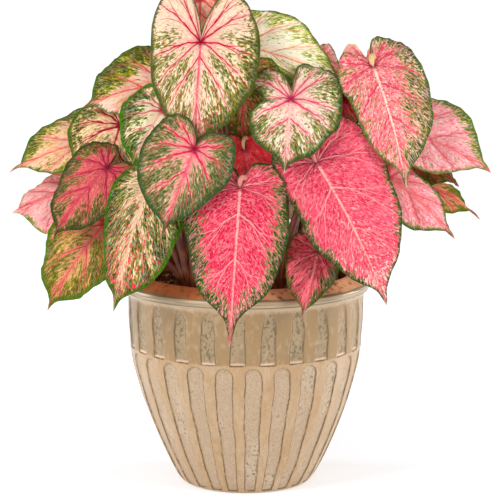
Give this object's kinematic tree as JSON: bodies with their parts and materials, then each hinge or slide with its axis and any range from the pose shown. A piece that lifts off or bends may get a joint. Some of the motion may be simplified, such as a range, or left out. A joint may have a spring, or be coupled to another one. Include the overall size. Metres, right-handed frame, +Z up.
{
  "type": "potted caladium",
  "caption": "Bushy foliage plant of heart-shaped, drooping leaves on arching stalks, in a rounded, fluted stoneware pot with a flared rim.",
  "frame": {"origin": "centre of the pot's flat foot, on the surface it stands on", "axes": "+Z up the pot's axis, -Y towards the plant's front, +X to the right as seen from the front"},
  "size_m": [0.474, 0.3581, 0.494],
  "materials": {
    "pot_glaze": "gloss",
    "potting_mix": "matte",
    "leafstalk": "satin",
    "leaf_cream": "satin",
    "leaf_pink": "satin",
    "leaf_green": "satin"
  },
  "bodies": {
    "root": {"pot": "pot_glaze", "potting_mix": "potting_mix", "leafstalks_1": "leafstalk", "leafstalks_2": "leafstalk", "leafstalks_3": "leafstalk", "leafstalks_4": "leafstalk", "leafstalks_5": "leafstalk", "leafstalks_6": "leafstalk", "leafstalks_7": "leafstalk", "leaf_01": "leaf_cream", "leaf_02": "leaf_cream", "leaf_03": "leaf_green", "leaf_04": "leaf_green", "leaf_05": "leaf_cream", "leaf_06": "leaf_cream", "leaf_07": "leaf_pink", "leaf_08": "leaf_pink", "leaf_09": "leaf_green", "leaf_10": "leaf_cream", "leaf_11": "leaf_pink", "leaf_12": "leaf_pink", "leaf_13": "leaf_pink", "leaf_14": "leaf_cream", "leaf_15": "leaf_green", "leaf_16": "leaf_pink", "leaf_17": "leaf_pink", "leaf_18": "leaf_pink", "leaf_19": "leaf_pink", "leaf_20": "leaf_green", "leaf_21": "leaf_green", "leaf_22": "leaf_pink", "leaf_23": "leaf_pink", "leaf_24": "leaf_cream", "leaf_25": "leaf_pink", "leaf_26": "leaf_cream", "leaf_27": "leaf_pink", "leaf_28": "leaf_green", "leaf_29": "leaf_pink", "leaf_30": "leaf_cream", "leaf_31": "leaf_pink", "leaf_32": "leaf_pink", "leaf_33": "leaf_cream", "leaf_34": "leaf_pink", "leaf_35": "leaf_green", "leaf_36": "leaf_pink", "leaf_37": "leaf_green", "leaf_38": "leaf_pink", "leaf_39": "leaf_cream", "leaf_40": "leaf_pink", "leaf_41": "leaf_green", "leaf_42": "leaf_cream", "leaf_43": "leaf_pink", "leaf_44": "leaf_green", "leaf_45": "leaf_cream"}
  },
  "joints": []
}
